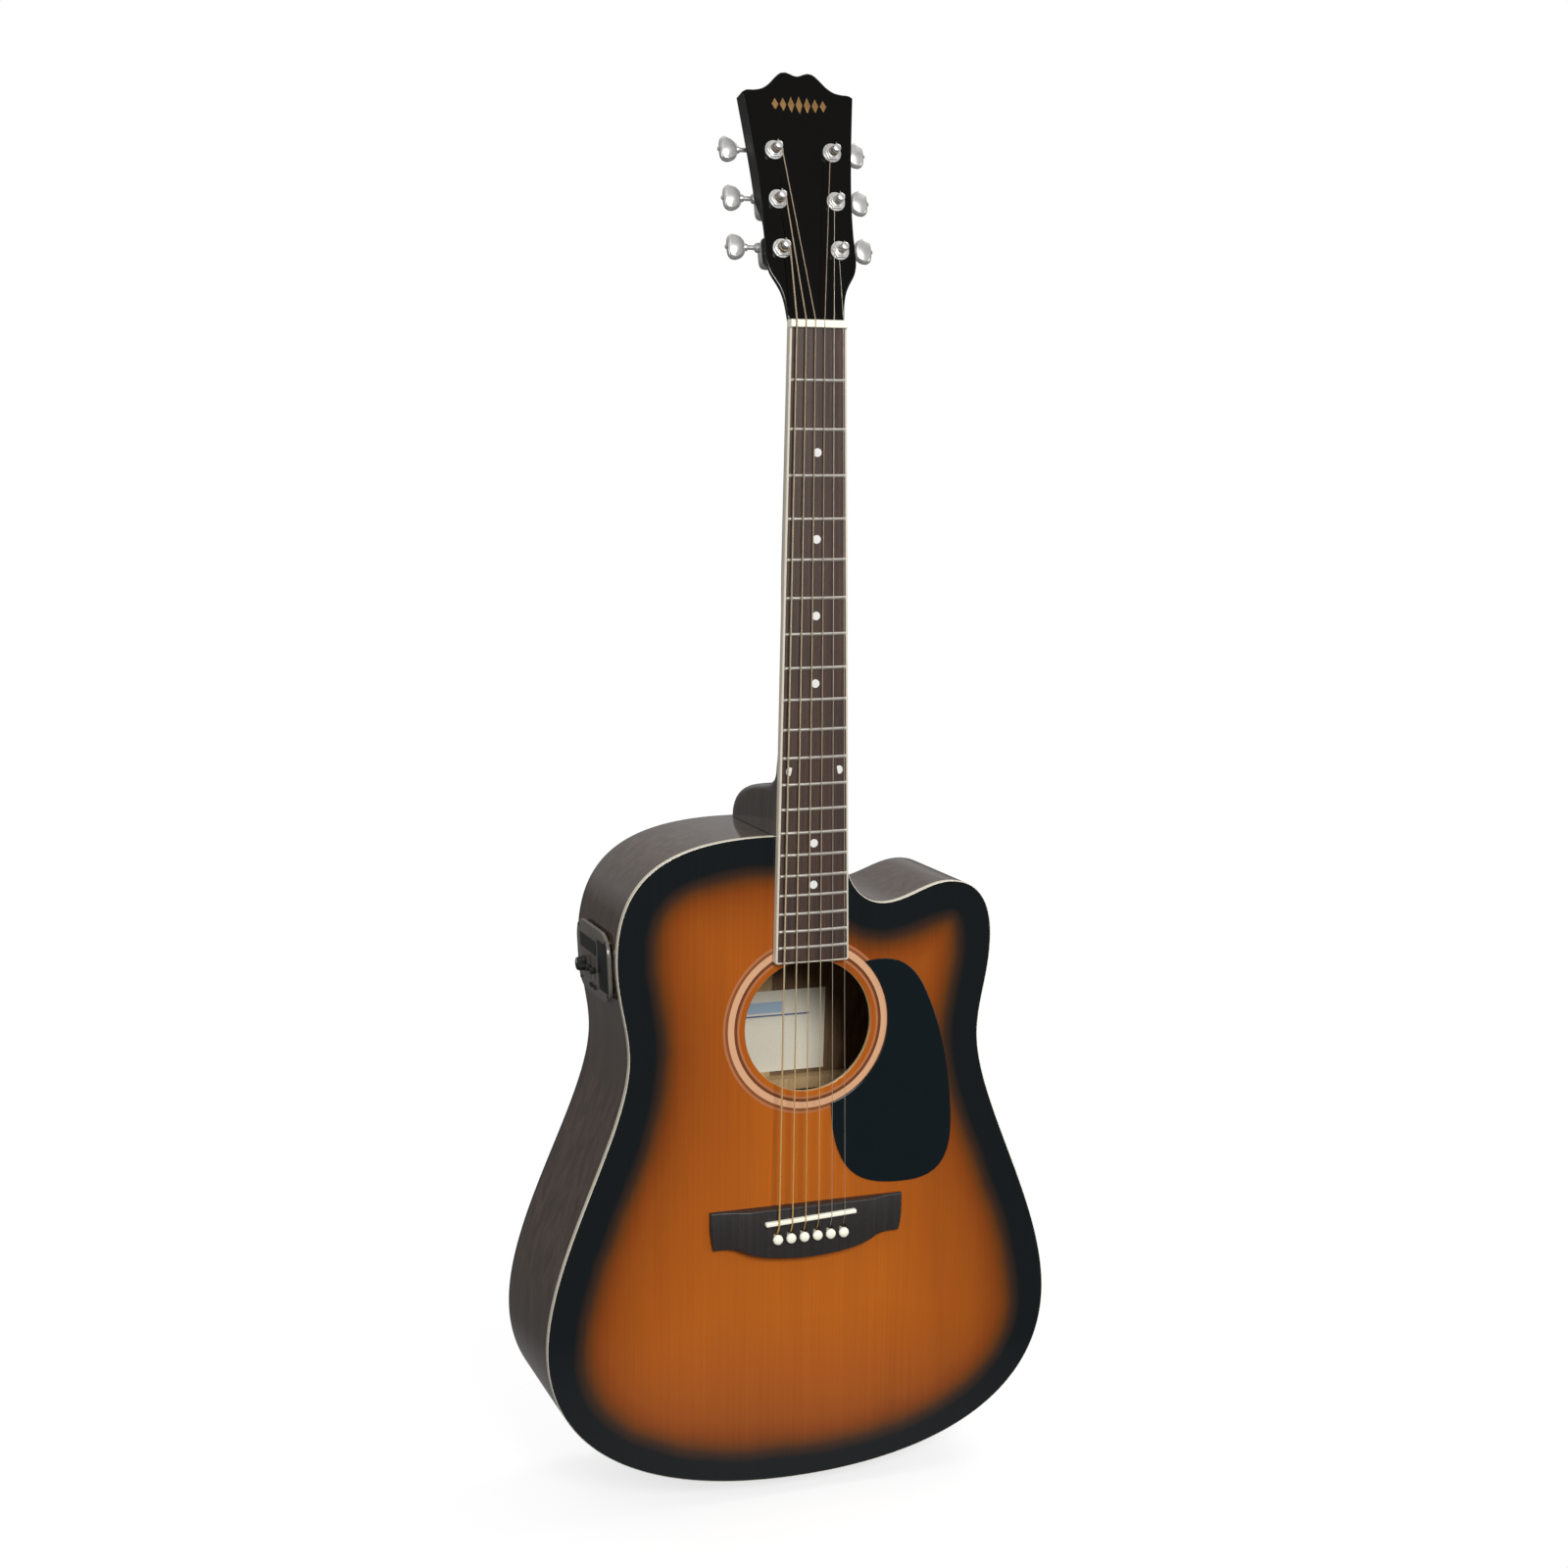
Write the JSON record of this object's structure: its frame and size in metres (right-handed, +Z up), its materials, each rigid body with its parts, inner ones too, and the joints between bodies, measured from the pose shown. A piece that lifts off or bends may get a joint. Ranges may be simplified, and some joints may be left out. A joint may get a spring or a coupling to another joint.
{
  "type": "electro-acoustic cutaway guitar",
  "caption": "Steel-string dreadnought guitar with a rounded cutaway, sunburst top, belly bridge, bound fingerboard, sealed tuners and a side preamp.",
  "frame": {"origin": "centre of the end pin's outer flat face, on the guitar's centre line", "axes": "+Z up the neck, +X towards the treble side, -Y out of the soundboard"},
  "size_m": [0.399, 0.1361, 1.052],
  "materials": {
    "top_wood": "straight-grained spruce with a dark sunburst under gloss lacquer",
    "body_wood": "dark brown stained mahogany under gloss lacquer",
    "binding": "cream plastic binding, polished",
    "bare_wood": "unfinished spruce and mahogany",
    "rosewood": "oiled dark rosewood, open grain",
    "black_gloss": "thin black sheet, high gloss",
    "black_plastic": "moulded black plastic, fine texture",
    "bone": "off-white moulded plastic",
    "nickel": "nickel silver, polished crown",
    "chrome": "bright chrome plate",
    "bronze": "phosphor bronze winding",
    "steel": "plain steel wire"
  },
  "bodies": {
    "root": {"soundboard": "top_wood", "back_plate": "body_wood", "rib_treble": "body_wood", "rib_bass": "body_wood", "binding_top": "binding", "binding_back": "black_gloss", "lining_top": "bare_wood", "lining_back": "bare_wood", "neck_block": "bare_wood", "tail_block": "bare_wood", "top_bracing": "bare_wood", "back_bracing": "bare_wood", "end_pin": "chrome", "pickguard": "black_gloss", "bridge": "rosewood", "saddle": "bone", "piezo_pickup": "bronze", "neck": "body_wood", "fingerboard": "rosewood", "fingerboard_binding": "binding", "fret_set": "nickel", "nut": "bone", "truss_rod": "steel", "string_6": "bronze", "string_5": "bronze", "string_4": "bronze", "string_3": "bronze", "string_2": "steel", "string_1": "steel", "tuner_housing_6": "chrome", "tuner_housing_5": "chrome", "tuner_housing_4": "chrome", "tuner_housing_3": "chrome", "tuner_housing_2": "chrome", "tuner_housing_1": "chrome", "preamp_housing": "black_plastic", "output_jack": "chrome"},
    "truss_rod_nut": {"truss_rod_nut": "steel"},
    "bridge_pin_6": {"bridge_pin_6": "bone"},
    "bridge_pin_5": {"bridge_pin_5": "bone"},
    "bridge_pin_4": {"bridge_pin_4": "bone"},
    "bridge_pin_3": {"bridge_pin_3": "bone"},
    "bridge_pin_2": {"bridge_pin_2": "bone"},
    "bridge_pin_1": {"bridge_pin_1": "bone"},
    "tuner_post_6": {"tuner_post_6": "chrome"},
    "tuner_knob_6": {"tuner_knob_6": "chrome"},
    "tuner_post_5": {"tuner_post_5": "chrome"},
    "tuner_knob_5": {"tuner_knob_5": "chrome"},
    "tuner_post_4": {"tuner_post_4": "chrome"},
    "tuner_knob_4": {"tuner_knob_4": "chrome"},
    "tuner_post_3": {"tuner_post_3": "chrome"},
    "tuner_knob_3": {"tuner_knob_3": "chrome"},
    "tuner_post_2": {"tuner_post_2": "chrome"},
    "tuner_knob_2": {"tuner_knob_2": "chrome"},
    "tuner_post_1": {"tuner_post_1": "chrome"},
    "tuner_knob_1": {"tuner_knob_1": "chrome"},
    "preamp_volume_knob": {"preamp_volume_knob": "black_plastic"},
    "preamp_slider_bass": {"preamp_slider_bass": "black_plastic"},
    "preamp_slider_treble": {"preamp_slider_treble": "black_plastic"},
    "battery_door": {"battery_door": "black_plastic"}
  },
  "joints": [
    {"name": "tuner_1_button_turn", "type": "hinge", "parent": "root", "child": "tuner_knob_1", "pos_m": [0.05, -0.02416, 0.92808], "axis": [1, 0, 0], "continuous": true},
    {"name": "tuner_1_post_turn", "type": "hinge", "parent": "root", "child": "tuner_post_1", "pos_m": [0.022, -0.04658, 0.92644], "axis": [0, -0.9681, 0.2504], "continuous": true},
    {"name": "bridge_pin_1_lift", "type": "slide", "parent": "root", "child": "bridge_pin_1", "axis": [0, -1, 0], "range_m": [0, 0.032]},
    {"name": "tuner_2_button_turn", "type": "hinge", "parent": "root", "child": "tuner_knob_2", "pos_m": [0.05, -0.01519, 0.96274], "axis": [1, 0, 0], "continuous": true},
    {"name": "tuner_2_post_turn", "type": "hinge", "parent": "root", "child": "tuner_post_2", "pos_m": [0.022, -0.03762, 0.9611], "axis": [0, -0.9681, 0.2504], "continuous": true},
    {"name": "bridge_pin_2_lift", "type": "slide", "parent": "root", "child": "bridge_pin_2", "axis": [0, -1, 0], "range_m": [0, 0.032]},
    {"name": "tuner_3_button_turn", "type": "hinge", "parent": "root", "child": "tuner_knob_3", "pos_m": [0.05, -0.00623, 0.9974], "axis": [1, 0, 0], "continuous": true},
    {"name": "tuner_3_post_turn", "type": "hinge", "parent": "root", "child": "tuner_post_3", "pos_m": [0.022, -0.02865, 0.99576], "axis": [0, -0.9681, 0.2504], "continuous": true},
    {"name": "bridge_pin_3_lift", "type": "slide", "parent": "root", "child": "bridge_pin_3", "axis": [0, -1, 0], "range_m": [0, 0.032]},
    {"name": "tuner_4_button_turn", "type": "hinge", "parent": "root", "child": "tuner_knob_4", "pos_m": [-0.05, -0.00623, 0.9974], "axis": [-1, 0, 0], "continuous": true},
    {"name": "tuner_4_post_turn", "type": "hinge", "parent": "root", "child": "tuner_post_4", "pos_m": [-0.022, -0.02865, 0.99576], "axis": [0, -0.9681, 0.2504], "continuous": true},
    {"name": "bridge_pin_4_lift", "type": "slide", "parent": "root", "child": "bridge_pin_4", "axis": [0, -1, 0], "range_m": [0, 0.032]},
    {"name": "tuner_5_button_turn", "type": "hinge", "parent": "root", "child": "tuner_knob_5", "pos_m": [-0.05, -0.01519, 0.96274], "axis": [-1, 0, 0], "continuous": true},
    {"name": "tuner_5_post_turn", "type": "hinge", "parent": "root", "child": "tuner_post_5", "pos_m": [-0.022, -0.03762, 0.9611], "axis": [0, -0.9681, 0.2504], "continuous": true},
    {"name": "bridge_pin_5_lift", "type": "slide", "parent": "root", "child": "bridge_pin_5", "axis": [0, -1, 0], "range_m": [0, 0.032]},
    {"name": "tuner_6_button_turn", "type": "hinge", "parent": "root", "child": "tuner_knob_6", "pos_m": [-0.05, -0.02416, 0.92808], "axis": [-1, 0, 0], "continuous": true},
    {"name": "tuner_6_post_turn", "type": "hinge", "parent": "root", "child": "tuner_post_6", "pos_m": [-0.022, -0.04658, 0.92644], "axis": [0, -0.9681, 0.2504], "continuous": true},
    {"name": "bridge_pin_6_lift", "type": "slide", "parent": "root", "child": "bridge_pin_6", "axis": [0, -1, 0], "range_m": [0, 0.032]},
    {"name": "truss_rod_nut_turn", "type": "hinge", "parent": "root", "child": "truss_rod_nut", "pos_m": [0, -0.0527, 0.4525], "axis": [0, 0, 1], "range_deg": [-180, 180]},
    {"name": "volume_knob_turn", "type": "hinge", "parent": "root", "child": "preamp_volume_knob", "pos_m": [-0.15288, 0.013, 0.40668], "axis": [-0.9986, 0, -0.0533], "range_deg": [-135, 135]},
    {"name": "bass_fader_slide", "type": "slide", "parent": "root", "child": "preamp_slider_bass", "axis": [-0.0533, 0, 0.9986], "range_m": [-0.007, 0.007]},
    {"name": "treble_fader_slide", "type": "slide", "parent": "root", "child": "preamp_slider_treble", "axis": [-0.0533, 0, 0.9986], "range_m": [-0.007, 0.007]},
    {"name": "battery_door_swing", "type": "hinge", "parent": "root", "child": "battery_door", "pos_m": [-0.14901, -0.045, 0.4139], "axis": [-0.0533, 0, 0.9986], "range_deg": [0, 100]}
  ],
  "couplings": [
    {"joint": "tuner_1_post_turn", "follows": "tuner_1_button_turn", "ratio": -0.071429},
    {"joint": "tuner_2_post_turn", "follows": "tuner_2_button_turn", "ratio": -0.071429},
    {"joint": "tuner_3_post_turn", "follows": "tuner_3_button_turn", "ratio": -0.071429},
    {"joint": "tuner_4_post_turn", "follows": "tuner_4_button_turn", "ratio": 0.071429},
    {"joint": "tuner_5_post_turn", "follows": "tuner_5_button_turn", "ratio": 0.071429},
    {"joint": "tuner_6_post_turn", "follows": "tuner_6_button_turn", "ratio": 0.071429}
  ]
}
